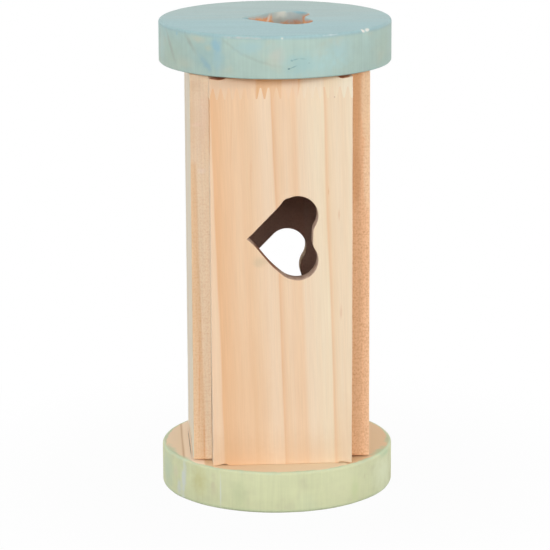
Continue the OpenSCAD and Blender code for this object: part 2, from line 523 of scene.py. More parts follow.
@dataclass(frozen=True)
class StainedPine:
    """Pine under a thin water stain, brushed on the outer face and the rim.

    The wood shows through: years as faint darker lines, fibres as fine streaks. The stain pools in some
    places, runs thin in others, gathers along the inner rim and creeps a little way over the bare inner face.

    Attributes:
        name: the material's name.
        grain: how the disc was cut, for its bare face.
        face: colour of the front of the outer face.
        rear: colour of the back of the outer face, where the brush was drier.
        rim: colour of the rim.
        pool: colour where the stain pooled.
        thin: colour where it ran thin.
        line: colour of a year's last wood under the stain.
        edge: colour of the stain that gathered along the inner rim.
        face_z: level of the outer face, in millimetres.
        bare_z: level of the bare inner face, in millimetres.
        radius: radius of the disc, in millimetres.
        pith: where the middle of the log lies, in X and Z, in millimetres.
        rings: the years that show through the stain.
        marks: what shows at one place only, in the stain.
        bare_marks_and_shade: what shows at one place only, over all, painted shade too.
    """

    name: str
    grain: Grain
    face: str
    rear: str
    rim: str
    pool: str
    thin: str
    line: str
    edge: str
    face_z: float
    bare_z: float
    radius: float
    pith: Pair
    rings: tuple[Ring, ...] = ()
    marks: tuple[MarkAndPaintedLight, ...] = ()
    bare_marks_and_shade: tuple[MarkAndPaintedLight, ...] = ()

    def make(self) -> bpy.types.Material:
        """Builds the material.

        Returns:
            The new material.
        """
        recipe = Recipe(bpy.data.materials.new(self.name))
        wood = self.grain.lay(recipe)
        spot = recipe.add("Mapping", None, {"Vector": wood["place"], "Scale": [1 / MM] * 3})
        wood["spot"] = spot
        for axis in "XYZ":
            wood[axis] = recipe.add("SeparateXYZ", None, {0: spot}, axis)
        # Sizes along X, Y and Z in millimetres, and detail: strokes of the brush, which went across
        # the grain, strokes of its single hairs, and the wood's upright lines, wide enough to show
        patterns = {
            "stroke": ((75.0, 10.0, 30.0), 3.0),
            "hairs": ((30.0, 3.2, 3.6), 2.0),
            "upright": ((0.7, 0.7, 14.0), 3.0),
        }
        for name, (size, detail) in patterns.items():
            fine = recipe.add("VectorMath", {"operation": "DIVIDE"}, {0: spot, 1: size})
            wood[name] = recipe.add(
                "TexNoise", NOISE, {"Vector": fine, "W": self.grain.seed, "Scale": 1.0, "Detail": detail}
            )
        colour = self.stain(recipe, wood)
        for name, dark, pale in (("upright", 0.964, 1.032), ("hairs", 0.965, 1.035)):
            light = recipe.add("MapRange", None, {0: wood[name], **NOISE_RANGE, 3: dark, 4: pale})
            colour = recipe.add("Mix", TINT, {0: 1.0, MIX_A: colour, MIX_B: light}, MIX_OUT)
        for mark in self.marks:
            colour = mark.lay(recipe, wood, colour)
        above = recipe.add("Math", {"operation": "SUBTRACT"}, {0: wood["Z"], 1: self.bare_z})
        above = recipe.add("Math", {"operation": "ABSOLUTE"}, {0: above})
        # Stain gathered along the inner rim, in a ragged band up to 1.5 mm wide
        ragged = recipe.add("Math", {"operation": "MULTIPLY_ADD"}, {0: wood["ragged"], 1: 1.6, 2: above})
        creep = recipe.add("MapRange", SMOOTH, {0: ragged, 1: 0.7, 2: 1.5, 3: 0.75, 4: 0.0})
        colour = recipe.add("Mix", MIX, {0: creep, MIX_A: colour, MIX_B: linear(self.edge)}, MIX_OUT)
        bared = self.bared(recipe, wood, above)
        colour = recipe.add("Mix", MIX, {0: bared, MIX_A: colour, MIX_B: wood["colour"]}, MIX_OUT)
        for bare_mark in self.bare_marks_and_shade:
            colour = bare_mark.lay(recipe, wood, colour)
        lines = wood["upright"]
        height = recipe.add("Math", {"operation": "MULTIPLY_ADD"}, {0: wood["fibre"], 1: 0.6, 2: lines})
        rough = recipe.add("MapRange", None, {0: lines, **NOISE_RANGE, 3: 0.7, 4: 0.58})
        return recipe.wood_surface(colour, rough=rough, gloss=0.4, height=height, relief=(0.2, 0.12))

    def stain(self, recipe: Recipe, wood: dict[str, Socket]) -> Socket:
        """Adds the stain with its pools, thin places and the years under it.

        Args:
            recipe: the material's nodes.
            wood: the grain's sockets, with the place in millimetres and the brush's strokes.

        Returns:
            The stain's colour.
        """
        # The face turns into the rim between 0.5 and 1.8 mm from its level
        below = recipe.add("Math", {"operation": "SUBTRACT"}, {0: wood["Z"], 1: self.face_z})
        below = recipe.add("Math", {"operation": "ABSOLUTE"}, {0: below})
        on_rim = recipe.add("MapRange", SMOOTH, {0: below, 1: 0.5, 2: 1.8, 3: 0.0, 4: 1.0})
        # Towards the back the brush was drier, sooner in some strokes than in others
        dry = recipe.add("Math", {"operation": "MULTIPLY_ADD"}, {0: wood["stroke"], 1: 90.0, 2: wood["Y"]})
        dry = recipe.add("MapRange", SMOOTH, {0: dry, 1: 25.0, 2: 65.0, 3: 0.0, 4: 1.0})
        colour = recipe.add("Mix", MIX, {0: dry, MIX_A: linear(self.face), MIX_B: linear(self.rear)}, MIX_OUT)
        colour = recipe.add("Mix", MIX, {0: on_rim, MIX_A: colour, MIX_B: linear(self.rim)}, MIX_OUT)
        for name, tint, most in (("blotch", self.thin, 0.7), ("bend", self.pool, 0.5)):
            share = recipe.add("MapRange", SMOOTH, {0: wood[name], 1: 0.5, 2: 0.72, 3: 0.0, 4: most})
            share = recipe.add("Math", {"operation": "MULTIPLY"}, {0: share, 1: on_rim})
            colour = recipe.add("Mix", MIX, {0: share, MIX_A: colour, MIX_B: linear(tint)}, MIX_OUT)
        flat = recipe.add("VectorMath", {"operation": "MULTIPLY"}, {0: wood["spot"], 1: (1.0, 0.0, 1.0)})
        middle = (self.pith[0], 0.0, self.pith[1])
        out = recipe.add("VectorMath", {"operation": "DISTANCE"}, {0: flat, 1: middle}, "Value")
        # How far a year's line wavers, in millimetres
        waver = 0.9
        out = recipe.add("Math", {"operation": "MULTIPLY_ADD"}, {0: wood["ragged"], 1: waver, 2: out})
        for ring in self.rings:
            off = recipe.add("Math", {"operation": "SUBTRACT"}, {0: out, 1: ring.radius + waver / 2})
            off = recipe.add("Math", {"operation": "ABSOLUTE"}, {0: off})
            share = recipe.add("MapRange", SMOOTH, {0: off, 1: 0.0, 2: ring.soft, 3: ring.strength, 4: 0.0})
            for near, far in ((ring.start, ring.start + ring.grow), (ring.end, ring.end - ring.wane)):
                shown = recipe.add("MapRange", SMOOTH, {0: wood["X"], 1: near, 2: far, 3: 0.0, 4: 1.0})
                share = recipe.add("Math", {"operation": "MULTIPLY"}, {0: share, 1: shown})
            share = recipe.add("Math", {"operation": "MULTIPLY"}, {0: share, 1: on_rim})
            colour = recipe.add("Mix", MIX, {0: share, MIX_A: colour, MIX_B: linear(self.line)}, MIX_OUT)
        return colour

    def bared(self, recipe: Recipe, wood: dict[str, Socket], above: Socket) -> Socket:
        """Adds the limit of the bare inner face, a wavering line just inside the rim.

        Args:
            recipe: the material's nodes.
            wood: the grain's sockets, with the place in millimetres.
            above: distance from the level of the inner face, in millimetres.

        Returns:
            1 on the bare wood, 0 on the stain.
        """
        flat = recipe.add("VectorMath", {"operation": "MULTIPLY"}, {0: wood["spot"], 1: (1.0, 1.0, 0.0)})
        out = recipe.add("VectorMath", {"operation": "LENGTH"}, {0: flat}, "Value")
        # The line wavers by these millimetres, so its middle lies about 1.2 mm inside the rim
        for name, reach in (("ragged", 1.8), ("blotch", 3.4)):
            out = recipe.add("Math", {"operation": "MULTIPLY_ADD"}, {0: wood[name], 1: reach, 2: out})
        limit = self.radius + 1.4
        inside = recipe.add("MapRange", None, {0: out, 1: limit - 0.3, 2: limit + 0.3, 3: 1.0, 4: 0.0})
        inner = recipe.add("MapRange", None, {0: above, 1: 0.1, 2: 0.35, 3: 1.0, 4: 0.0})
        return recipe.add("Math", {"operation": "MULTIPLY"}, {0: inside, 1: inner})


@dataclass(frozen=True)
class RoutedPine:
    """The wall of a cut-out, as the cutter left it: open end grain, duller than the face.

    Attributes:
        name: the material's name.
        grain: how the piece was cut.
        bare: the wood's colour.
        scorched: colour of its darker fibres.
        stain: colour of the stain that ran down the wall, or nothing.
        stain_z: level from which it ran down, in millimetres.
        marks: what shows at one place only.
    """

    name: str
    grain: Grain
    bare: str = "c9ab8b"
    scorched: str = "a98763"
    stain: str | None = None
    stain_z: float = 0.0
    marks: tuple[MarkAndPaintedLight, ...] = ()

    def make(self) -> bpy.types.Material:
        """Builds the material.

        Returns:
            The new material.
        """
        recipe = Recipe(bpy.data.materials.new(self.name))
        wood = self.grain.lay(recipe)
        stops = [(0.35, self.bare), (0.7, self.scorched)]
        colour = recipe.add("ValToRGB", {"stops": stops}, {"Fac": wood["ragged"]})
        light = recipe.add("MapRange", None, {0: wood["fibre"], **NOISE_RANGE, 3: 0.92, 4: 1.06})
        colour = recipe.add("Mix", TINT, {0: 1.0, MIX_A: colour, MIX_B: light}, MIX_OUT)
        if self.stain:
            spot = recipe.add("Mapping", None, {"Vector": wood["place"], "Scale": [1 / MM] * 3})
            level = recipe.add("SeparateXYZ", None, {0: spot}, "Z")
            deep = recipe.add("Math", {"operation": "SUBTRACT"}, {0: self.stain_z, 1: level})
            run = recipe.add("VectorMath", {"operation": "DIVIDE"}, {0: spot, 1: (2.6, 6.0, 40.0)})
            run = recipe.add(
                "TexNoise", NOISE, {"Vector": run, "W": self.grain.seed, "Scale": 1.0, "Detail": 2.0}
            )
            # Runs are between 0.8 and 2.6 mm long
            length = recipe.add("MapRange", None, {0: run, 1: 0.35, 2: 0.7, 3: 0.8, 4: 2.6})
            short = recipe.add("Math", {"operation": "SUBTRACT"}, {0: length, 1: deep})
            cover = recipe.add("MapRange", None, {0: short, 1: 0.0, 2: 1.2, 3: 0.0, 4: 0.9})
            colour = recipe.add("Mix", MIX, {0: cover, MIX_A: colour, MIX_B: linear(self.stain)}, MIX_OUT)
        for mark in self.marks:
            colour = mark.lay(recipe, wood, colour)
        return recipe.wood_surface(colour, rough=0.75, gloss=0.3, height=wood["fibre"], relief=(0.4, 0.2))


@dataclass(frozen=True)
class BeechRod:
    """Plain turned beech: an even tan wood with short dark flecks along the rod.

    Attributes:
        name: the material's name.
        wood: its colour.
        fleck: colour of its flecks.
    """

    name: str = "beech_dowel_rod"
    wood: str = "d3a578"
    fleck: str = "a9764c"

    def make(self) -> bpy.types.Material:
        """Builds the material.

        Returns:
            The new material.
        """
        recipe = Recipe(bpy.data.materials.new(self.name))
        place = recipe.add("TexCoord", out="Object")
        # A fleck is about 0.5 mm wide and 3 mm long
        scale = [1 / (size * MM) for size in (0.5, 0.5, 3.0)]
        fine = recipe.add("Mapping", None, {"Vector": place, "Scale": scale})
        speck = recipe.add("TexNoise", None, {"Vector": fine, "Scale": 1.0, "Detail": 2.0})
        stops = [(0.0, self.wood), (0.58, self.wood), (0.7, self.fleck)]
        colour = recipe.add("ValToRGB", {"stops": stops}, {"Fac": speck})
        return recipe.wood_surface(colour, rough=0.6, gloss=0.5, height=speck, relief=(0.2, 0.1))


Finish = PlanedPine | SawnPine | StainedPine | RoutedPine | BeechRod


class Side(Enum):
    """Where a panel stands: the turn about the axis, in degrees, that carries the front panel there."""

    FRONT = 0
    RIGHT = 90
    BACK = 180
    LEFT = 270


@dataclass(frozen=True)
class Heart:
    """A heart cut-out that lies on its side.

    Attributes:
        length: from its point to the ends of its lobes.
        width: across its lobes.
        lobe: radius of its lobes.
        hollow: depth of the hollow between them.
        shift: how far its middle lies from the centre line, towards the lobes.
        lobe_steps: how many edges stand for a lobe.
        hollow_steps: how many stand for half the hollow.
        flank_cuts: how often a flank is cut.
    """

    length: float = 24.0
    width: float = 29.2
    lobe: float = 6.9
    hollow: float = 2.2
    shift: float = 0.4
    lobe_steps: int = 30
    hollow_steps: int = 9
    flank_cuts: int = 14

    def draw(self, bm: bmesh.types.BMesh, middle: Pair, point_to: int) -> list[bmesh.types.BMEdge]:
        """Draws the outline on the XY plane.

        Args:
            bm: the mesh to draw in.
            middle: where the piece's centre line and the heart's axis cross.
            point_to: -1 for a point towards -X, 1 for one towards +X.

        Returns:
            The outline's edges.
        """
        before = set(bm.edges)
        lobe_x = self.length - self.lobe
        lobe_y = self.width / 2 - self.lobe
        flank = math.atan2(lobe_y, lobe_x) + math.asin(self.lobe / math.hypot(lobe_x, lobe_y))
        hollow_r = ((self.lobe - self.hollow) ** 2 + lobe_y**2 - self.lobe**2) / (2 * self.hollow)
        hollow_x = self.length - self.hollow + hollow_r
        meet = math.atan2(lobe_y, hollow_x - lobe_x)
        tip = bm.verts.new((0.0, 0.0, 0.0))
        shoulder = bmesh.ops.extrude_vert_indiv(bm, verts=[tip])["verts"][0]
        shoulder.co = (lobe_x - self.lobe * math.sin(flank), lobe_y + self.lobe * math.cos(flank), 0.0)
        straight = [e for e in bm.edges if e not in before]
        end: list[Any] = [shoulder]
        arcs = (
            ((lobe_x, lobe_y, 0.0), -(math.pi / 2 + flank + meet), self.lobe_steps),
            ((hollow_x, 0.0, 0.0), meet, self.hollow_steps),
        )
        for centre, angle, steps in arcs:
            end = bmesh.ops.spin(
                bm, geom=end, cent=centre, axis=(0.0, 0.0, 1.0), angle=angle, steps=steps, use_merge=False
            )["geom_last"]
        bmesh.ops.subdivide_edges(bm, edges=straight, cuts=self.flank_cuts)
        half = [e for e in bm.edges if e not in before]
        corners = list(dict.fromkeys(v for e in half for v in e.verts))
        bmesh.ops.mirror(bm, geom=half + corners, matrix=Matrix.Identity(4), merge_dist=TOUCH, axis="Y")
        edges = [e for e in bm.edges if e not in before]
        verts = list(dict.fromkeys(v for e in edges for v in e.verts))
        bmesh.ops.translate(bm, verts=verts, vec=(self.shift - self.length / 2, 0.0, 0.0))
        bmesh.ops.scale(bm, verts=verts, vec=(-point_to, 1.0, 1.0))
        bmesh.ops.translate(bm, verts=verts, vec=(*middle, 0.0))
        return edges


def draw_loop(bm: bmesh.types.BMesh, points: list[Pair], step: float) -> list[bmesh.types.BMEdge]:
    """Draws a closed loop on the XY plane.

    Args:
        bm: the mesh to draw in.
        points: the loop's corners, in order.
        step: the longest edge that is left whole.

    Returns:
        The loop's edges.
    """
    before = set(bm.edges)
    verts = [bm.verts.new((x, y, 0.0)) for x, y in points]
    sides = [bm.edges.new(pair) for pair in zip(verts, verts[1:] + verts[:1])]
    lengths = sorted({int(side.calc_length() / step) for side in sides})
    for cuts in lengths:
        alike = [side for side in sides if side.is_valid and int(side.calc_length() / step) == cuts]
        if cuts and alike:
            bmesh.ops.subdivide_edges(bm, edges=alike, cuts=cuts)
    return [e for e in bm.edges if e not in before]


def raise_solid(bm: bmesh.types.BMesh, outline: list[bmesh.types.BMEdge], height: float) -> None:
    """Fills an outline and its holes, and raises it to a closed solid.

    Args:
        bm: the mesh that holds the outline.
        outline: the edges of the outer loop and of any loops inside it.
        height: how far it rises along Z.
    """
    bmesh.ops.triangle_fill(bm, use_beauty=True, edges=outline)
    raised = bmesh.ops.extrude_face_region(bm, geom=bm.faces[:])["geom"]
    bmesh.ops.translate(
        bm, verts=[g for g in raised if isinstance(g, bmesh.types.BMVert)], vec=(0.0, 0.0, height)
    )
    bmesh.ops.recalc_face_normals(bm, faces=bm.faces[:])


def sharp_edges(bm: bmesh.types.BMesh) -> list[bmesh.types.BMEdge]:
    """Finds the edges at which a mesh turns a corner."""
    return [e for e in bm.edges if e.calc_face_angle(0.0) > CORNER]


def middle_of(edge: bmesh.types.BMEdge) -> Vector:
    """Gives the middle of an edge."""
    return (edge.verts[0].co + edge.verts[1].co) / 2


def round_edges(bm: bmesh.types.BMesh, edges: list[bmesh.types.BMEdge], radius: float, segments: int) -> None:
    """Rounds edges over.

    Args:
        bm: the mesh.
        edges: what to round. Edges that an earlier rounding used up are passed over.
        radius: how far the rounding reaches from the edge.
        segments: how many faces it gets across.
    """
    bmesh.ops.bevel(
        bm,
        geom=[e for e in edges if e.is_valid],
        offset=radius,
        offset_type="OFFSET",
        segments=segments,
        profile=0.5,
        affect="EDGES",
        material=-1,
        clamp_overlap=False,
    )


@dataclass
class WoodPiece:
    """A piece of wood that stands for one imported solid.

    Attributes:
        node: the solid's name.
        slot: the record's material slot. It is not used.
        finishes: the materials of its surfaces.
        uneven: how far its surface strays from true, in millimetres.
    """

    node: str
    slot: str
    finishes: tuple[Finish, ...]
    uneven: float = 0.05

    def weather(self, bm: bmesh.types.BMesh) -> None:
        """Moves each point by a slow noise, so that no edge is dead straight."""
        noise.seed_set(WAVES_SEED)
        for vert in bm.verts:
            vert.co += self.uneven * noise.noise_vector(vert.co * WAVES)

    def publish(self, bm: bmesh.types.BMesh) -> bpy.types.Object:
        """Makes the object, dresses it and lets it ride on the part.

        Args:
            bm: the finished mesh in millimetres, in the part's frame. It is used up.

        Returns:
            The new object.
        """
        bmesh.ops.recalc_face_normals(bm, faces=bm.faces[:])
        bmesh.ops.scale(bm, verts=bm.verts[:], vec=(MM, MM, MM))
        mesh = bpy.data.meshes.new(f"{self.node}_wood")
        bm.to_mesh(mesh)
        bm.free()
        piece = bpy.data.objects.new(mesh.name, mesh)
        bpy.context.scene.collection.objects.link(piece)
        for finish in self.finishes:
            mesh.materials.append(finish.make())
        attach(piece, "root")
        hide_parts(self.node)
        LOG.info("%s: %d faces", piece.name, len(mesh.polygons))
        return piece


@dataclass
class Panel(WoodPiece):
    """A flat pine board between the two discs.

    Its finishes are its face, its edges, its inside and its heart. It takes its size and place from its
    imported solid. While it is shaped it lies flat, with its foot along the X axis and its outer face up.

    Attributes:
        side: where it stands.
        eased: rounding of its edges.
        heart: its cut-out, or nothing.
        heart_z: level of the cut-out.
        heart_eased: rounding of the cut-out's edges.
        chips: splinters torn from an end, each from and to along the board, and how far they reach up from
            the lower end or, below zero, down from the upper one.
        flare: levels from the foot upwards, and how far each side stands out there. A corner joint that
            gapes at the foot is tight further up.
        nicks: places where the cutter ran wide, each across, level, width and depth.
        skew: how much lower the inner side of its foot reaches, as the saw ran out of square.
        width: across the board.
        thickness: through it.
        inner: distance from the axis to its inner face.
        foot: level of its lower end.
        height: its length.
    """

    side: Side = Side.FRONT
    eased: float = 0.3
    heart: Heart | None = None
    heart_z: float = 0.0
    heart_eased: float = 0.2
    chips: tuple[Triple, ...] = ()
    flare: tuple[Pair, ...] = ()
    nicks: tuple[tuple[float, float, float, float], ...] = ()
    skew: float = 0.0
    width: float = field(init=False)
    thickness: float = field(init=False)
    inner: float = field(init=False)
    foot: float = field(init=False)
    height: float = field(init=False)

    def __post_init__(self) -> None:
        """Takes the board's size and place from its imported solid."""
        box = PackedBox.of(self.node)
        across, through = (0, 1) if self.side in (Side.FRONT, Side.BACK) else (1, 0)
        self.width = box.size(across)
        self.thickness = box.size(through)
        self.inner = min(abs(box.low[through]), abs(box.high[through]))
        self.foot = box.low[2]
        self.height = box.size(2)

    def outline(self) -> list[Pair]:
        """Gives the corners of the board."""
        half = self.width / 2
        return [(-half, 0.0), (half, 0.0), (half, self.height), (-half, self.height)]

    def glued(self, edge: bmesh.types.BMEdge) -> bool:
        """Tells whether an edge lies in an inner corner, where two boards meet and the wood stays sharp."""
        return all(v.co.z < TOUCH and abs(v.co.x) > self.width / 2 - TOUCH for v in edge.verts)

    def build(self) -> bpy.types.Object:
        """Builds the board and dresses it.

        Returns:
            The new object.
        """
        bm = bmesh.new()
        edges = draw_loop(bm, self.outline(), STEP)
        if self.heart:
            # Seen from behind, the back panel's heart points the other way
            point_to = 1 if self.side is Side.BACK else -1
            edges += self.heart.draw(bm, (0.0, self.heart_z - self.foot), point_to)
        raise_solid(bm, edges, self.thickness)
        self.ease(bm)
        for face in bm.faces:
            face.smooth = abs(face.normal.z) < FLAT
            face.material_index = self.surface_of(face)
        self.saw_askew(bm)
        self.tear(bm)
        self.nick(bm)
        self.widen(bm)
        stand = Matrix.Rotation(math.radians(self.side.value), 4, "Z")
        stand @= Matrix.Translation((0.0, -self.inner, self.foot)) @ Matrix.Rotation(math.pi / 2, 4, "X")
        bmesh.ops.transform(bm, matrix=stand, verts=bm.verts[:])
        self.weather(bm)
        return self.publish(bm)

    def ease(self, bm: bmesh.types.BMesh) -> None:
        """Rounds the edges of the board and of its cut-out, apart from those that are glued.

        Args:
            bm: the flat board.
        """
        sharp = sharp_edges(bm)
        for edge in sharp:
            edge.smooth = not self.glued(edge)
        loose = [e for e in sharp if e.smooth]
        around = [e for e in loose if self.in_heart(middle_of(e))]
        outer = [e for e in loose if not self.in_heart(middle_of(e))]
        round_edges(bm, outer, self.eased, segments=3)
        round_edges(bm, around, self.heart_eased, segments=2)

    def surface_of(self, face: bmesh.types.BMFace) -> int:
        """Chooses the finish of a face.

        Args:
            face: a face of the flat board.

        Returns:
            0 for the face, 1 for an edge, 2 for the inside and 3 for the heart.
        """
        if abs(face.normal.z) > FACING:
            return 0 if face.normal.z > 0 else 2
        return 3 if self.in_heart(face.calc_center_median()) else 1

    def in_heart(self, point: Vector) -> bool:
        """Tells whether a point lies at the cut-out.

        Args:
            point: a point of the flat board.

        Returns:
            True where the point lies in the heart or just round it.
        """
        if not self.heart:
            return False
        room_x, room_y = HEART_ROOM
        rise = self.heart_z - self.foot
        inside_x = abs(point.x) < self.heart.length / 2 + room_x
        return inside_x and abs(point.y - rise) < self.heart.width / 2 + room_y

    def saw_askew(self, bm: bmesh.types.BMesh) -> None:
        """Lowers the inner side of the foot, where the saw ran out of square.

        Args:
            bm: the flat board.
        """
        foot_band = 1.0
        for vert in bm.verts:
            if vert.co.y < foot_band:
                vert.co.y -= self.skew * (1 - vert.co.z / self.thickness)

    def tear(self, bm: bmesh.types.BMesh) -> None:
        """Draws back the front of an end where splinters came off.

        Args:
            bm: the flat board.
        """
        # A gap left by a splinter is deepest past its middle, and blunt
        lop = 1.8
        blunt = 0.6
        end_band = 1.5
        for start, end, high in self.chips:
            for vert in bm.verts:
                along = max(0.0, (vert.co.x - start) / (end - start)) ** lop
                depth = vert.co.y if high > 0 else self.height - vert.co.y
                if 0 < along < 1 and depth < end_band and vert.co.z > self.thickness / 2:
                    vert.co.y += high * math.sin(math.pi * along) ** blunt

    def nick(self, bm: bmesh.types.BMesh) -> None:
        """Pushes the heart's outline outwards where the cutter ran wide.

        Args:
            bm: the flat board.
        """
        middle = Vector((0.0, self.heart_z - self.foot))
        for across, level, width, depth in self.nicks:
            spot = Vector((across, level - self.foot))
            outward = (spot - middle).normalized()
            for vert in bm.verts:
                near = 1 - (vert.co.to_2d() - spot).length_squared / width**2
                if near > 0:
                    vert.co += (outward * depth * near * near).to_3d()

    def widen(self, bm: bmesh.types.BMesh) -> None:
        """Moves the board's sides out or in, by what its flare says for each level.

        Args:
            bm: the flat board.
        """
        side_band = 0.5
        for (low, before), (high, after) in zip(self.flare, self.flare[1:]):
            for vert in bm.verts:
                share = (vert.co.y + self.foot - low) / (high - low)
                if 0 <= share < 1 and abs(vert.co.x) > self.width / 2 - side_band:
                    out = before + (after - before) * share
                    vert.co.x += out if vert.co.x > 0 else -out


@dataclass
class JointedPanel(Panel):
    """One of the two pieces of the front board, whose upper end is finger-jointed.

    Its size is that of the whole board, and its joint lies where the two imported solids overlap.

    Attributes:
        fingers: how many there are across the board.
        tip: width of a finger's blunt tip.
        upper: whether this is the short piece above the joint.
        finger: length of a finger.
        root: how far the fingers' roots lie above the board's foot.
    """

    fingers: int = 18
    tip: float = 0.5
    upper: bool = False
    finger: float = field(init=False)
    root: float = field(init=False)

    def __post_init__(self) -> None:
        """Takes the board's and the joint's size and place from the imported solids."""
        super().__post_init__()
        board = PackedBox.of("front_panel")
        block = PackedBox.of("front_panel_end_block")
        self.foot = board.low[2]
        self.height = block.high[2] - self.foot
        self.root = block.low[2] - self.foot
        self.finger = board.high[2] - block.low[2]

    def outline(self) -> list[Pair]:
        """Works out the corners of the piece on this side of the zigzag.

        Returns:
            The corners in order.
        """
        half = self.width / 2
        pitch = self.width / self.fingers
        slope = pitch / 2 - self.tip
        zigzag: list[Pair] = []
        for i in range(self.fingers):
            left = i * pitch - half
            zigzag += [
                (left, self.root),
                (left + slope, self.root + self.finger),
                (left + slope + self.tip, self.root + self.finger),
                (left + 2 * slope + self.tip, self.root),
            ]
        zigzag.append((half, self.root))
        far = self.height if self.upper else 0.0
        return [(half, far), (-half, far), *zigzag]

    def glued(self, edge: bmesh.types.BMEdge) -> bool:
        """Tells whether an edge lies in the zigzag or in an inner corner.

        Args:
            edge: an edge of the flat piece.

        Returns:
            True where the wood stays sharp.
        """
        levels = [v.co.y for v in edge.verts]
        zigzag = min(levels) > self.root - TOUCH and max(levels) < self.root + self.finger + TOUCH
        return zigzag or super().glued(edge)


@dataclass
class Disc(WoodPiece):
    """A round end of the roller.

    Its finishes are its surface and the wall of its heart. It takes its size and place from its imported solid.

    Attributes:
        uneven: how far its surface strays from true.
        eased: rounding of its lower and of its upper rim.
        heart: its cut-out, or nothing.
        heart_eased: rounding of the cut-out's edges.
        dents: places where its rim was knocked, each a point and the width and depth of the dent.
        facets: how many sides stand for its round.
        radius: of the disc.
        thickness: through it.
        foot: level of its lower face.
    """

    uneven: float = 0.07
    eased: Pair = (1.0, 1.0)
    heart: Heart | None = None
    heart_eased: float = 0.4
    dents: tuple[tuple[Triple, float, float], ...] = ()
    facets: int = 360
    radius: float = field(init=False)
    thickness: float = field(init=False)
    foot: float = field(init=False)

    def __post_init__(self) -> None:
        """Takes the disc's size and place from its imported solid."""
        box = PackedBox.of(self.node)
        self.radius = box.high[0]
        self.thickness = box.size(2)
        self.foot = box.low[2]

    def build(self) -> bpy.types.Object:
        """Builds the disc and dresses it.

        Returns:
            The new object.
        """
        bm = bmesh.new()
        bmesh.ops.create_circle(bm, cap_ends=False, segments=self.facets, radius=self.radius)
        outline = bm.edges[:]
        if self.heart:
            outline += self.heart.draw(bm, (0.0, 0.0), -1)
        raise_solid(bm, outline, self.thickness)
        self.ease(bm)
        for face in bm.faces:
            face.smooth = abs(face.normal.z) < FLAT
            upright = abs(face.normal.z) < UPRIGHT
            wall = upright and face.calc_center_median().to_2d().length < self.radius / 2
            face.material_index = 1 if wall else 0
        bmesh.ops.translate(bm, verts=bm.verts[:], vec=(0.0, 0.0, self.foot))
        self.knock(bm)
        self.weather(bm)
        for vert in bm.verts:
            vert.co.z = max(vert.co.z, self.foot)
        return self.publish(bm)

    def ease(self, bm: bmesh.types.BMesh) -> None:
        """Rounds the edges of both rims and of the cut-out.

        Args:
            bm: the disc, with its lower face on the XY plane.
        """
        low: list[bmesh.types.BMEdge] = []
        high: list[bmesh.types.BMEdge] = []
        around: list[bmesh.types.BMEdge] = []
        for edge in sharp_edges(bm):
            middle = middle_of(edge)
            if middle.to_2d().length < self.radius / 2:
                around.append(edge)
            elif middle.z < self.thickness / 2:
                low.append(edge)
            else:
                high.append(edge)
        round_edges(bm, low, self.eased[0], segments=5)
        round_edges(bm, high, self.eased[1], segments=5)
        round_edges(bm, around, self.heart_eased, segments=2)

    def knock(self, bm: bmesh.types.BMesh) -> None:
        """Pushes the rim in where it was knocked.

        Args:
            bm: the disc in its place.
        """
        middle = Vector((0.0, 0.0, self.foot + self.thickness / 2))
        for centre, width, depth in self.dents:
            inward = (middle - Vector(centre)).normalized()
            for vert in bm.verts:
                near = 1 - (vert.co - Vector(centre)).length_squared / width**2
                if near > 0:
                    vert.co += inward * depth * near * near


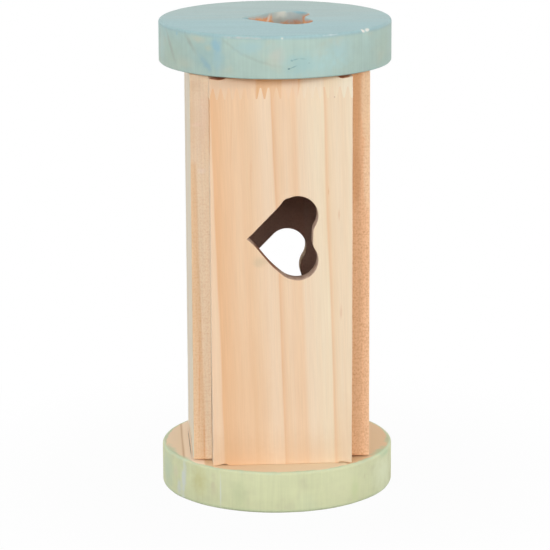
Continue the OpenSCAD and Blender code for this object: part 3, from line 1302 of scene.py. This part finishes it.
@dataclass(frozen=True)
class Roller:
    """The whole toy: its discs, panels and dowels. Each piece has a method, and so has each group of marks.

    Attributes:
        top: box of the top disc.
        base: box of the base disc.
        front: box of the front panel.
        left: box of the left panel.
        flare: how the sides of the front panel and of its end block stand out, from the foot upwards.
        lying: turn in degrees that lays a disc's fibres along Y.
        dim: colour that the boards' insides tend to, a painted shade of the dark chamber.
        dimmed: how far they tend there.
        dim_torn: colour of the tears there, in the same painted shade.
    """

    top: PackedBox = PackedBox.of("top_disc")
    base: PackedBox = PackedBox.of("base_disc")
    front: PackedBox = PackedBox.of("front_panel")
    left: PackedBox = PackedBox.of("left_panel")
    flare: tuple[Pair, ...] = ((0.0, -0.04), (33.0, -0.04), (50.0, 0.06), (62.0, 0.08), (160.0, 0.1))
    lying: Triple = (90.0, 0.0, 0.0)
    dim: str = "be998b"
    dimmed: float = 0.85
    dim_torn: str = "7d5638"

    def build(self) -> None:
        """Builds every piece and dresses the dowels."""
        pieces = (
            self.top_disc(),
            self.base_disc(),
            self.front_panel(),
            self.end_block(),
            self.back_panel(),
            self.left_panel(),
            self.right_panel(),
        )
        for piece in pieces:
            piece.build()
        self.dress_dowels()

    def dress_dowels(self) -> None:
        """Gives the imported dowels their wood."""
        wood = BeechRod().make()
        for name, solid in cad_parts.items():
            if name.endswith("dowels"):
                solid.data.materials.clear()
                solid.data.materials.append(wood)
                LOG.info("%s: beech", name)

    def top_disc(self) -> Disc:
        """Lays out the blue disc, with a heart cut through it.

        Returns:
            The disc, ready to build.
        """
        years = (
            Year(-44.0, "cfa77f", "dfc3a2"),
            Year(-18.0, "d3ab84", "e0c6a6"),
            Year(12.0, "cfa77f", "dfc3a2"),
        )
        grain = Grain(years, seed=6.0, turn=self.lying)
        stain = StainedPine(
            name="sky_blue_water_stain_on_pine",
            grain=grain,
            face="9ebdbf",
            rear="a8bcb9",
            rim="b1c8be",
            pool="9cc4cd",
            thin="bec9b9",
            line="939b8f",
            edge="a9cdc8",
            face_z=self.top.high[2],
            bare_z=self.top.low[2],
            radius=self.top.high[0],
            pith=(4.7, 192.6),
            rings=(Ring(radius=37.9, start=-21.0, end=3.0, strength=0.2),),
            marks=self.sky_marks(),
        )
        wall = RoutedPine(
            name="routed_pine_top_heart",
            grain=grain,
            bare="e0a678",
            scorched="d08b5b",
            stain="a6bcbc",
            stain_z=self.top.high[2],
            marks=self.wall_marks(),
        )
        return Disc(
            node="top_disc",
            slot="sky_paint",
            finishes=(stain, wall),
            eased=(0.6, 1.0),
            heart=Heart(),
            dents=(((-0.2, -40.0, 165.0), 1.3, 0.4), ((28.2, -28.4, 165.1), 1.6, 0.5)),
        )

    def base_disc(self) -> Disc:
        """Lays out the green disc.

        Returns:
            The disc, ready to build.
        """
        years = (
            Year(-46.0, "f2d3b0", "f4dab9"),
            Year(-34.1, "d6b088", "e0c09a"),
            Year(-33.4, "fbe2c5", "fde9d2"),
            Year(-27.0, "e6c9a4", "edd8b7"),
            Year(22.0, "dfbc92", "e6c9a2"),
        )
        stain = StainedPine(
            name="mint_green_water_stain_on_pine",
            grain=Grain(years, seed=7.0, turn=self.lying),
            face="c6cfa8",
            rear="cccfac",
            rim="d4d8ae",
            pool="c9d6b8",
            thin="cbcba6",
            line="b9bc9c",
            edge="c6d5b7",
            face_z=self.base.low[2],
            bare_z=self.base.high[2],
            radius=self.base.high[0],
            pith=(-120.0, 40.0),
            marks=self.mint_marks(),
            bare_marks_and_shade=self.mint_bare_marks_and_shade(),
        )
        return Disc(node="base_disc", slot="mint_paint", finishes=(stain,))

    def front_panel(self) -> JointedPanel:
        """Lays out the front panel, with its heart and the lower half of the finger joint.

        Returns:
            The board, ready to build.
        """
        # Last wood is crisp on the side of the bark, and some years hold a softer second band
        years = (
            Year(-37.0, "f0ccaa", "f2d2b1"),
            Year(-19.45, "ebbc8f", "f0cca7"),
            Year(-8.8, "eecaa4", "f2d7b9", soft=1.2),
            Year(1.35, "ebc198", "f0d0ae", soft=0.2),
            Year(4.4, "f1d3b3", "f0ceaa", soft=0.8),
            Year(9.7, "f1d8bb", "f2dfc2", soft=0.6),
            Year(18.75, "edc9a1", "f0d7b7"),
            Year(21.0, "f1dabc", "f2dec1", soft=0.8),
        )
        grain = Grain(years, seed=1.0, turn=(0.0, 1.9, 0.0), slant=2.4, wander=0.4)
        side = self.front.low[0]
        orange = MarkAndPaintedLight((side, -28.0, 136.0), (1.5, 5.0, 22.0), "e8b281", 0.9, rag=0.4, fade=0.4)
        # Painted shade on the lower part of the heart's wall
        painted_wall_shade = MarkAndPaintedLight((-5.0, -27.5, 87.5), (9.5, 7.0, 8.0), "a86f52", 0.9, rag=0.4, fade=0.5)
        return JointedPanel(
            node="front_panel",
            slot="pine",
            finishes=(
                PlanedPine("planed_pine_front", grain, self.front_marks()),
                SawnPine("sawn_pine_front", grain, dull="f6e6d0", dulled=0.8, marks=(orange,)),
                self.inside("front", grain),
                RoutedPine("routed_pine_front", grain, bare="e2c6b2", scorched="c6a48c", marks=(painted_wall_shade,)),
            ),
            heart=Heart(),
            heart_z=94.45,
            chips=((-22.4, -18.7, 0.6), (23.2, 19.2, 0.45)),
            flare=self.flare,
            nicks=(
                (0.9, 107.3, 2.4, 0.5),
                (-11.6, 94.8, 1.5, 0.35),
                (-2.5, 85.8, 9.0, 0.75),
                (10.2, 94.6, 3.5, 0.45),
            ),
        )

    def end_block(self) -> JointedPanel:
        """Lays out the short block above the finger joint.

        Returns:
            The block, ready to build.
        """
        years = (
            Year(-40.0, "eecdac", "eecdac"),
            Year(-8.5, "e8ba8c", "ecc59d", soft=0.4),
            Year(0.2, "f0d2b4", "f0d2b4", soft=0.4),
            Year(5.7, "ebc49b", "efd5b6"),
            Year(7.0, "f1ddc3", "f2e2ca", soft=0.5),
            Year(14.2, "f1dab9", "f3e6ce"),
        )
        grain = Grain(years, seed=2.0, slant=-1.6, wander=0.2)
        face = self.front.low[1]
        # Painted shade under the top disc: the upper end is warmer in tone, as light bounced off bare wood, and
        # duller at its left
        painted_shade_under_disc = (
            MarkAndPaintedLight((-2.0, face, 150.4), (22.0, 3.0, 3.6), "f4a44c", 0.6, rag=0.3, fade=0.0),
            MarkAndPaintedLight((-17.0, face, 148.2), (14.0, 3.0, 3.5), "d8b99c", 0.5, rag=0.3, fade=0.0),
        )
        return JointedPanel(
            node="front_panel_end_block",
            slot="end_block_pine",
            finishes=(
                PlanedPine("planed_pine_end_block", grain, painted_shade_under_disc),
                SawnPine("sawn_pine_end_block", grain, dull="f6e6d0", dulled=0.8, marks=self.chip_marks_and_shade()),
                self.inside("end_block", grain),
            ),
            upper=True,
            chips=((-25.2, -18.7, -0.6), (23.8, 19.2, -0.6)),
            flare=self.flare,
        )

    def back_panel(self) -> Panel:
        """Lays out the back panel, with its lower heart.

        Returns:
            The board, ready to build.
        """
        years = (
            Year(-36.0, "ebbf95", "f0d4b3"),
            Year(-15.0, "ecc49b", "f1d8b9"),
            Year(3.0, "eabc90", "f0d6b6"),
            Year(20.0, "edc8a1", "f0d8b9"),
        )
        grain = Grain(years, seed=3.0, turn=(0.0, -1.4, 180.0), slant=1.8)
        return Panel(
            node="back_panel",
            slot="pine",
            finishes=(
                PlanedPine("planed_pine_back", grain),
                SawnPine("sawn_pine_back", grain),
                self.inside("back", grain),
                RoutedPine("routed_pine_back", grain),
            ),
            side=Side.BACK,
            heart=Heart(),
            heart_z=70.85,
        )

    def left_panel(self) -> Panel:
        """Lays out the left panel, whose outer face is paler and duller as a painted reflection of the white
        surroundings.

        Returns:
            The board, ready to build.
        """
        # Grain of the pine; the years across the outer face are paler and duller, as a painted reflection of
        # the white surroundings
        years = (
            Year(-34.0, "d7c5a7", "ddd3bd"),
            Year(-12.0, "d7c4a5", "ddd2bb"),
            Year(10.0, "dacaad", "ded3bb"),
            Year(24.3, "e4b787", "e4b787", soft=0.1),
            Year(29.0, "f1d8ba", "fae6cc", soft=0.25),
            Year(36.5, "ebc49c", "f0d8ba"),
        )
        grain = Grain(years, seed=4.0, turn=(0.0, 1.4, 90.0), slant=1.0, wander=0.25)
        # Painted reflection of the white surroundings along the front of the outer face
        painted_reflection = MarkAndPaintedLight((*self.left.low[:2], 82.0), (1.5, 7.0, 200.0), "ddd2bb", 0.95, rag=0.2, fade=0.7)
        return Panel(
            node="left_panel",
            slot="pine",
            finishes=(
                PlanedPine("planed_pine_left", grain, (painted_reflection,)),
                SawnPine(
                    "sawn_pine_left",
                    grain,
                    dull="f5dec2",
                    dulled=0.35,
                    torn="cf925c",
                    marks=self.left_marks(),
                    tearing=0.33,
                ),
                self.inside("left", grain),
            ),
            side=Side.LEFT,
            skew=0.42,
            eased=0.55,
        )

    def right_panel(self) -> Panel:
        """Lays out the right panel, with the roughest saw cut.

        Returns:
            The board, ready to build.
        """
        years = (
            Year(-36.0, "e4b286", "e3b185"),
            Year(-27.1, "f4bf92", "facfa8", soft=0.8),
            Year(-22.0, "ecc094", "f0d4b0"),
            Year(0.0, "eabb8f", "f0d2ad"),
            Year(19.0, "ebc094", "f0d6b3"),
        )
        grain = Grain(years, seed=5.0, turn=(0.0, 0.0, -90.0), slant=-1.0)
        return Panel(
            node="right_panel",
            slot="pine",
            finishes=(
                PlanedPine("planed_pine_right", grain),
                SawnPine(
                    "sawn_pine_right",
                    grain,
                    dull="f8cda6",
                    dulled=0.33,
                    torn="be7644",
                    marks=self.right_marks(),
                    tearing=0.57,
                ),
                self.inside("right", grain),
            ),
            side=Side.RIGHT,
        )

    def inside(self, name: str, grain: Grain) -> SawnPine:
        """Makes the finish of a board's inside, which the saw left rough and which is darkened as painted shade
        of the closed chamber.

        Args:
            name: of the board.
            grain: how it was cut.

        Returns:
            The finish.
        """
        return SawnPine(
            f"painted_shade_rough_pine_{name}_inside", grain, dull=self.dim, dulled=self.dimmed, torn=self.dim_torn
        )

    def sky_marks(self) -> tuple[MarkAndPaintedLight, ...]:
        """Lists what shows at one place only on the blue disc.

        Returns:
            The marks, in the order in which they are laid.
        """
        rim = partial(MarkAndPaintedLight.at_rim, self.top.high[0])
        return (
            # Wide, soft differences round the rim
            rim(-37.8, 158.0, (13.0, 5.0, 9.0), "93b8bc", 0.45, rag=0.8, fade=0.0),
            rim(28.4, 159.5, (8.0, 5.0, 7.0), "aed0d3", 0.5, rag=0.8, fade=0.0),
            rim(15.2, 155.5, (16.0, 6.0, 6.5), "b0d4d3", 0.6, fade=0.0),
            rim(7.9, 156.0, (7.0, 4.0, 6.0), "98bdbd", 0.4, rag=0.8, fade=0.0),
            rim(-16.0, 161.5, (8.0, 4.0, 4.0), "a5c8cb", 0.6, fade=0.0),
            rim(64.2, 158.0, (9.0, 8.0, 9.0), "b4c6b6", 0.6, rag=0.8, fade=0.0),
            rim(-64.2, 157.0, (9.0, 8.0, 9.0), "b0c4b4", 0.5, rag=0.8, fade=0.0),
            # A pool of stain with a run below it, and a second one along a year's edge
            rim(-32.0, 157.6, (2.8, 3.0, 7.5), "9ec3cb", 0.5),
            rim(-32.9, 161.8, (3.0, 3.0, 4.0), "95bdc9", 0.85, rag=0.7, fade=0.2),
            rim(-49.1, 161.4, (1.3, 3.0, 5.6), "98a095", 0.5, lean=-40.0, rag=0.6, fade=0.0),
            rim(-39.2, 155.0, (1.8, 3.0, 5.4), "94b7c0", 0.8, lean=-46.0, rag=1.0, fade=0.0),
            rim(-59.3, 163.6, (0.8, 3.0, 1.0), "94bfca", 0.6, rag=0.5, fade=0.3),
            # Stain in the saw's overcut at the heart's point
            MarkAndPaintedLight((-12.2, 0.0, self.top.high[2]), (1.2, 0.3, 0.6), "7b9da6", 0.9, rag=0.3, fade=0.3),
            # A steep year, and places where the stain is worn thin
            rim(-65.7, 158.8, (1.4, 3.0, 9.5), "a2a79d", 0.5, lean=-34.0, rag=0.6, fade=0.0),
            rim(-78.5, 158.0, (5.0, 4.0, 10.0), "b6cdc6", 0.8, rag=0.6),
            rim(-44.0, 163.1, (6.2, 3.0, 2.0), "c2c8b6", 0.75, rag=1.3, fade=0.0),
            rim(-37.6, 160.3, (2.6, 3.0, 1.8), "bcc5b0", 0.6, rag=1.0, fade=0.0),
            rim(-2.6, 158.8, (4.2, 3.0, 5.0), "c4c6bc", 0.55, rag=1.2, fade=0.0),
            # Along the upper edge: a painted highlight, partly worn stain, and small chips
            rim(-19.4, 164.5, (7.2, 2.0, 0.6), "d6cdc2", 0.5, rag=2.4, fade=0.0),
            rim(24.4, 164.9, (4.8, 2.0, 0.4), "d0dad9", 0.6, lean=-1.0, rag=2.0, fade=0.0),
            rim(-0.3, 164.5, (0.6, 2.0, 0.5), "dcdccf", 0.8, rag=0.4, fade=0.2),
            rim(44.4, 164.8, (1.2, 2.0, 0.8), "f2ece0", 0.95, lean=24.0, rag=0.8, fade=0.3),
            rim(47.5, 164.9, (1.5, 2.0, 0.7), "e6e5da", 0.9, lean=-12.0, rag=1.0, fade=0.2),
            # A scratch low on the rim
            rim(2.9, 154.3, (0.6, 2.0, 0.4), "5b7f84", 0.9, lean=-10.0, rag=0.4, fade=0.3),
            rim(4.9, 154.8, (1.9, 2.0, 0.3), "7fa4a6", 0.8, lean=-22.0, rag=0.5, fade=0.2),
            rim(4.3, 157.0, (0.6, 2.0, 0.4), "7fa5a7", 0.7, lean=20.0, rag=0.4, fade=0.2),
            rim(6.2, 157.4, (1.6, 2.0, 0.3), "86abad", 0.7, lean=-14.0, rag=0.5, fade=0.2),
            rim(9.7, 157.5, (1.5, 2.0, 0.3), "8db1b1", 0.6, lean=9.0, rag=0.5, fade=0.2),
            rim(12.7, 156.0, (0.6, 2.0, 0.4), "8db1b1", 0.5, rag=0.4),
        )

    def wall_marks(self) -> tuple[MarkAndPaintedLight, ...]:
        """Lists what shows at one place only in the blue disc's heart.

        Returns:
            The marks, in the order in which they are laid.
        """
        return (
            MarkAndPaintedLight((-10.0, 1.6, 164.0), (2.4, 4.0, 4.0), "93b4bb", 0.85, rag=0.6, fade=0.3),
            MarkAndPaintedLight((6.8, 13.4, 164.2), (5.6, 5.0, 4.1), "a0babd", 0.85, rag=0.7, fade=0.5),
            MarkAndPaintedLight((9.6, 12.0, 165.2), (4.4, 5.0, 1.5), "86b0bc", 0.85, rag=0.8, fade=0.2),
            MarkAndPaintedLight((1.9, 13.4, 163.4), (3.8, 4.0, 3.4), "a9b8b3", 0.9, rag=0.6, fade=0.5),
            MarkAndPaintedLight((3.2, 13.6, 164.5), (3.8, 3.0, 2.3), "cccec3", 0.9, rag=1.0, fade=0.0),
            MarkAndPaintedLight((-1.2, 9.4, 165.0), (6.0, 4.0, 2.0), "a0b5b4", 0.85, rag=1.0, fade=0.2),
            MarkAndPaintedLight((-1.8, 10.4, 162.8), (0.7, 2.0, 3.6), "d9cdbb", 0.75, lean=20.0, rag=0.6, fade=0.2),
            MarkAndPaintedLight((12.0, -5.0, 162.2), (4.0, 6.0, 3.4), "d08a5c", 0.9, rag=0.6, fade=0.4),
        )

    def mint_marks(self) -> tuple[MarkAndPaintedLight, ...]:
        """Lists what shows at one place only on the green disc.

        Returns:
            The marks, in the order in which they are laid.
        """
        rim = partial(MarkAndPaintedLight.at_rim, self.base.high[0])
        return (
            rim(32.9, 7.0, (16.0, 8.0, 14.0), "dcdfb5", 0.8, rag=0.8, fade=0.0),
            rim(-75.7, 7.0, (9.0, 5.0, 12.0), "c0d0b6", 0.7, fade=0.0),
            rim(-64.6, 8.5, (2.6, 3.0, 4.0), "d6cfb4", 0.5, rag=1.2, fade=0.0),
            rim(-57.1, 6.5, (1.9, 3.0, 12.0), "d3dad6", 0.8, lean=3.0, rag=1.4),
            rim(-61.0, 3.4, (2.6, 3.0, 4.2), "d0d7d4", 0.7, rag=1.6, fade=0.0),
            rim(-45.7, 8.5, (5.2, 3.0, 8.0), "c9c68d", 0.7, rag=1.2, fade=0.0),
            rim(-36.7, 8.0, (2.2, 3.0, 5.5), "cbc3a2", 0.55, rag=1.2, fade=0.0),
            rim(-32.4, 6.0, (0.45, 2.0, 9.0), "d8ded6", 0.65, rag=0.4, fade=0.2),
            rim(-22.5, 6.0, (5.0, 3.0, 9.0), "bdc79c", 0.5, rag=0.8, fade=0.0),
            rim(62.8, 7.0, (12.0, 8.0, 12.0), "e3e8c5", 0.85, rag=0.8, fade=0.0),
            rim(65.8, 13.6, (8.0, 3.0, 2.2), "b5cfa8", 0.6, fade=0.0),
            rim(38.1, 5.0, (3.0, 3.0, 8.0), "c8d49c", 0.45, fade=0.0),
            rim(44.9, 9.0, (0.6, 2.0, 1.6), "c9c7a0", 0.5, rag=0.8, fade=0.0),
        )

    def mint_bare_marks_and_shade(self) -> tuple[MarkAndPaintedLight, ...]:
        """Lists what shows at one place only on the bare face of the green disc, with a painted shadow line.

        Returns:
            The marks, in the order in which they are laid.
        """
        top = self.base.high[2]
        return (
            # A painted shadow line along the foot of the left panel
            MarkAndPaintedLight((-31.1, -3.0, top), (0.22, 22.0, 1.0), "8a6a50", 0.75, rag=0.4, fade=0.4),
            MarkAndPaintedLight.at_rim(39.4, -75.9, top, (10.0, 3.0, 1.2), "c3d3b2", 0.7, rag=1.4, fade=0.0),
            MarkAndPaintedLight.at_rim(39.45, -59.0, top, (5.0, 2.0, 1.2), "c3d3b2", 0.6, rag=1.4, fade=0.0),
            MarkAndPaintedLight.at_rim(39.35, 63.4, top, (9.0, 2.8, 1.2), "bcd0aa", 0.8, rag=1.4),
            MarkAndPaintedLight.at_rim(39.2, 84.1, top, (7.0, 1.6, 1.2), "bcd0aa", 0.7, rag=1.4),
        )

    def left_marks(self) -> tuple[MarkAndPaintedLight, ...]:
        """Lists what shows at one place only on the left board's front edge.

        Returns:
            The marks, in the order in which they are laid.
        """
        edge = self.left.low[1]
        return (
            MarkAndPaintedLight((-29.4, edge, 137.0), (4.4, 3.0, 18.5), "f2dbc0", 0.85, rag=0.2, fade=0.85),
            MarkAndPaintedLight((-30.8, edge, 134.0), (3.3, 3.0, 25.0), "e2c3a0", 0.85, rag=0.3, fade=0.1),
            # Painted shade under the top disc, at the upper end of the edge
            MarkAndPaintedLight((-29.2, edge, 146.5), (3.6, 3.0, 3.5), "d6b592", 0.45, rag=0.3, fade=0.0),
            MarkAndPaintedLight((-25.6, edge, 137.0), (2.0, 3.0, 12.0), "fbe6d0", 0.55, rag=0.4, fade=0.2),
            MarkAndPaintedLight((-28.6, edge, 30.0), (3.4, 3.0, 44.0), "f6d3ae", 0.6, fade=0.0),
            MarkAndPaintedLight((-28.2, edge, 42.0), (0.45, 3.0, 26.0), "e29a64", 0.4, lean=1.0, rag=1.4, fade=0.0),
            MarkAndPaintedLight((-26.7, edge, 22.0), (0.45, 3.0, 14.0), "e29a64", 0.4, rag=1.4, fade=0.0),
            MarkAndPaintedLight((-26.6, edge, 117.0), (2.2, 3.0, 1.6), "f8e4d4", 0.6),
            MarkAndPaintedLight((-28.0, edge, 133.0), (2.6, 3.0, 1.2), "f7dcc8", 0.5),
        )

    def right_marks(self) -> tuple[MarkAndPaintedLight, ...]:
        """Lists what shows at one place only on the right board's front edge.

        Returns:
            The marks, in the order in which they are laid.
        """
        edge = self.left.low[1]
        return (
            MarkAndPaintedLight((29.6, edge, 140.0), (2.8, 3.0, 17.0), "f4d2ac", 0.8, rag=0.5, fade=0.6),
            MarkAndPaintedLight((25.9, edge, 140.0), (2.4, 3.0, 24.0), "d9a06d", 0.5, rag=0.3, fade=0.3),
            MarkAndPaintedLight((29.8, edge, 116.0), (1.9, 3.0, 17.0), "f8d5b0", 0.7, rag=0.4, fade=0.5),
            MarkAndPaintedLight((25.7, edge, 115.0), (2.3, 3.0, 15.0), "d39a6a", 0.5, rag=0.4, fade=0.4),
        )

    def chip_marks_and_shade(self) -> tuple[MarkAndPaintedLight, ...]:
        """Lists the torn wood where splinters came off the end block's upper end, darker at the cores as
        painted shade of the gap under the disc.

        Returns:
            The marks, in the order in which they are laid.
        """
        return (
            MarkAndPaintedLight((-21.2, -30.0, 149.4), (3.6, 3.4, 2.0), "cf8f76", 0.9, rag=0.3, fade=0.6),
            MarkAndPaintedLight((-20.4, -30.0, 149.4), (2.4, 3.4, 2.0), "b06b48", 0.85, rag=0.5, fade=0.2),
            MarkAndPaintedLight((21.2, -30.0, 149.4), (2.7, 3.4, 2.0), "d9956f", 0.9, rag=0.3, fade=0.6),
            MarkAndPaintedLight((20.4, -30.0, 149.4), (1.8, 3.4, 2.0), "b06b48", 0.85, rag=0.5, fade=0.2),
        )

    def front_marks(self) -> tuple[MarkAndPaintedLight, ...]:
        """Lists what shows at one place only on the front panel.

        Returns:
            The marks, in the order in which they are laid.
        """
        face = self.front.low[1]
        return (
            MarkAndPaintedLight((18.1, face, 142.9), (0.45, 2.0, 0.25), "b98f74", 0.8, rag=0.2, fade=0.5),
            MarkAndPaintedLight((-10.0, face, 36.0), (17.0, 3.0, 46.0), "e8b585", 0.2, rag=0.5, fade=0.0),
            # Darker along the foot
            MarkAndPaintedLight((-17.0, face, 17.5), (18.0, 3.0, 14.0), "d8aa7e", 0.4, rag=0.3, fade=0.0),
            MarkAndPaintedLight((8.0, face, 17.5), (26.0, 3.0, 13.0), "d8b48f", 0.42, rag=0.3, fade=0.0),
            MarkAndPaintedLight((21.4, face, 24.0), (4.0, 3.0, 20.0), "e2b78a", 0.2, rag=0.3, fade=0.2),
            MarkAndPaintedLight((-16.9, face, 130.0), (0.4, 2.0, 16.0), "e8b78b", 0.5, lean=1.5, fade=0.0),
            MarkAndPaintedLight((-10.3, face, 118.0), (0.6, 2.0, 10.0), "e6b88d", 0.45, lean=1.5, fade=0.0),
            MarkAndPaintedLight((5.7, face, 146.0), (0.35, 2.0, 4.0), "d9a878", 0.5, fade=0.0),
            MarkAndPaintedLight((-7.6, face, 86.4), (3.8, 2.0, 2.6), "d5bd9a", 0.55),
            MarkAndPaintedLight((15.9, face, 110.8), (0.4, 2.0, 2.2), "e2b48a", 0.7),
            MarkAndPaintedLight((19.5, face, 102.3), (0.5, 2.0, 3.0), "e4bd97", 0.7),
            MarkAndPaintedLight((20.2, face, 68.4), (0.6, 2.0, 4.0), "e4bd9b", 0.6),
        )


@dataclass(frozen=True)
class Softbox:
    """A square studio lamp that looks at the roller.

    Attributes:
        name: the lamp's name.
        azimuth: degrees to the right of the front, seen from the camera's side.
        height: degrees above the horizon.
        distance: from the roller, in metres.
        side: its width in metres.
        level: how brightly it lights a white card at the roller, where 1 is white.
        aim: height of the place that it looks at, in metres.
    """

    name: str
    azimuth: float
    height: float
    distance: float
    side: float
    level: float
    aim: float = 0.08

    def hang(self) -> None:
        """Adds the lamp."""
        lamp = bpy.data.lights.new(self.name, "AREA")
        lamp.shape = "SQUARE"
        lamp.size = self.side
        lamp.energy = self.level * math.pi**2 * self.distance**2
        light = bpy.data.objects.new(self.name, lamp)
        turn = math.radians(self.azimuth)
        rise = math.radians(self.height)
        away = Vector((math.sin(turn) * math.cos(rise), -math.cos(turn) * math.cos(rise), math.sin(rise)))
        light.location = Vector((0.0, 0.0, self.aim)) + away * self.distance
        light.rotation_euler = away.to_track_quat("Z", "Y").to_euler()
        bpy.context.scene.collection.objects.link(light)


@dataclass(frozen=True)
class Studio:
    """A pale floor, soft light and the camera of the photograph.

    Attributes:
        lamps: the softboxes.
        tent: strength of the tent's white walls, which light the roller from all round.
        tent_low: sine of the height at which the walls start, and at which they are fully lit.
        tent_high: sine of the height at which they start to fade, and at which they end.
        ambient: strength of the light from everywhere else.
        paper: the floor's own colour, which the camera sees as white.
        floor_side: width of the floor in metres.
        floor_white: how much of the floor's own shading gives way to plain white, at the roller.
        shadow_core: distance from the roller's axis up to which that holds, in metres.
        shadow_reach: distance from it at which all of the shading has given way, in metres.
        camera_at: where the camera stands, in millimetres.
        yaw: degrees by which it looks to the right of straight back.
        pitch: degrees by which it looks down.
        roll: degrees by which it is turned anticlockwise.
        focal_px: its focal length in pixels of the photograph.
        frame_px: width of the photograph in pixels.
        sensor: width of its sensor in millimetres.
        nearest: distance from it at which things start to show, in metres.
    """

    lamps: tuple[Softbox, ...] = (
        Softbox("key", azimuth=-36.0, height=17.0, distance=1.5, side=0.4, level=0.18),
        Softbox("fill", azimuth=36.0, height=17.0, distance=1.5, side=0.4, level=0.18),
        Softbox("overhead", azimuth=0.0, height=88.0, distance=1.6, side=0.8, level=0.3),
    )
    tent: float = 3.55
    tent_low: Pair = (0.1, 0.24)
    tent_high: Pair = (0.32, 0.46)
    ambient: float = 0.05
    paper: str = "a8a8a8"
    floor_side: float = 12.0
    floor_white: float = 0.97
    shadow_core: float = 0.05
    shadow_reach: float = 0.16
    camera_at: Triple = (-65.05, -1014.12, 323.77)
    yaw: float = 3.648
    pitch: float = 13.792
    roll: float = -0.277
    focal_px: float = 2986.2
    frame_px: int = 550
    sensor: float = 36.0
    nearest: float = 0.01

    def set_up(self) -> None:
        """Adds the floor, the light and the camera."""
        self.lay_floor()
        self.light_world()
        for lamp in self.lamps:
            lamp.hang()
        self.place_camera()
        bpy.context.scene.view_settings.view_transform = "Standard"

    def lay_floor(self) -> None:
        """Adds the floor, which shows the camera white and keeps the roller's shadow."""
        bm = bmesh.new()
        bmesh.ops.create_grid(bm, x_segments=1, y_segments=1, size=self.floor_side / 2)
        mesh = bpy.data.meshes.new("floor")
        bm.to_mesh(mesh)
        bm.free()
        floor = bpy.data.objects.new("floor", mesh)
        bpy.context.scene.collection.objects.link(floor)
        recipe = Recipe(bpy.data.materials.new("matt_white_paper"))
        seen = self.seen_rays(recipe)
        place = recipe.add("TexCoord", out="Object")
        away = recipe.add("VectorMath", {"operation": "LENGTH"}, {0: place}, "Value")
        fade = {1: self.shadow_core, 2: self.shadow_reach, 3: self.floor_white, 4: 1.0}
        share = recipe.add("MapRange", SMOOTH, {0: away, **fade})
        share = recipe.add("Math", {"operation": "MULTIPLY"}, {0: seen, 1: share})
        paper = recipe.add("BsdfDiffuse", None, {"Color": linear(self.paper)})
        white = recipe.add("Emission", None, {"Color": linear("ffffff"), "Strength": 1.0})
        mixed = recipe.add("MixShader", None, {0: share, 1: paper, 2: white})
        mesh.materials.append(recipe.surface(mixed))

    def seen_rays(self, recipe: Recipe) -> Socket:
        """Adds a test of where a ray comes from.

        Args:
            recipe: the nodes of the floor or of the world.

        Returns:
            1 for rays from the camera and for those that gloss or glass sends on, 0 for the rest.
        """
        seen = recipe.add("LightPath", out="Is Camera Ray")
        for ray in ("Is Glossy Ray", "Is Transmission Ray"):
            other = recipe.add("LightPath", out=ray)
            seen = recipe.add("Math", {"operation": "MAXIMUM"}, {0: seen, 1: other})
        return seen

    def light_world(self) -> None:
        """Lights the scene like a tent of white cloth, and shows the camera white beyond the floor."""
        world = bpy.data.worlds.new("studio")
        bpy.context.scene.world = world
        recipe = Recipe(world)
        seen = self.seen_rays(recipe)
        ray = recipe.add("TexCoord", out="Generated")
        height = recipe.add("SeparateXYZ", None, {0: ray}, "Z")
        low, lit = self.tent_low
        fade, end = self.tent_high
        rise = recipe.add("MapRange", SMOOTH, {0: height, 1: low, 2: lit, 3: 0.0, 4: 1.0})
        wall = recipe.add("MapRange", SMOOTH, {0: height, 1: fade, 2: end, 3: self.tent, 4: 0.0})
        level = recipe.add("Math", {"operation": "MULTIPLY_ADD"}, {0: rise, 1: wall, 2: self.ambient})
        level = recipe.add("MapRange", None, {0: seen, 1: 0.0, 2: 1.0, 3: level, 4: 1.0})
        sky = recipe.add("Background", None, {"Color": linear("ffffff"), "Strength": level})
        recipe.add("OutputWorld", None, {"Surface": sky})

    def place_camera(self) -> None:
        """Stands the camera where the photograph was taken."""
        yaw = math.radians(self.yaw)
        pitch = math.radians(self.pitch)
        ahead = Vector((math.sin(yaw) * math.cos(pitch), math.cos(yaw) * math.cos(pitch), -math.sin(pitch)))
        across = Vector((math.cos(yaw), -math.sin(yaw), 0.0))
        upward = across.cross(ahead)
        aim = Matrix((across, upward, -ahead)).transposed().to_4x4()
        data = bpy.data.cameras.new("camera")
        data.sensor_width = self.sensor
        data.lens = self.focal_px * self.sensor / self.frame_px
        data.clip_start = self.nearest
        camera = bpy.data.objects.new("camera", data)
        turned = aim @ Matrix.Rotation(math.radians(self.roll), 4, "Z")
        camera.matrix_world = Matrix.Translation(Vector(self.camera_at) * MM) @ turned
        bpy.context.scene.collection.objects.link(camera)
        bpy.context.scene.camera = camera


def main() -> None:
    """Builds the studio and the roller."""
    logging.basicConfig(level=logging.INFO, format="%(name)s: %(message)s")
    Studio().set_up()
    Roller().build()


if __name__ == "__main__":
    main()
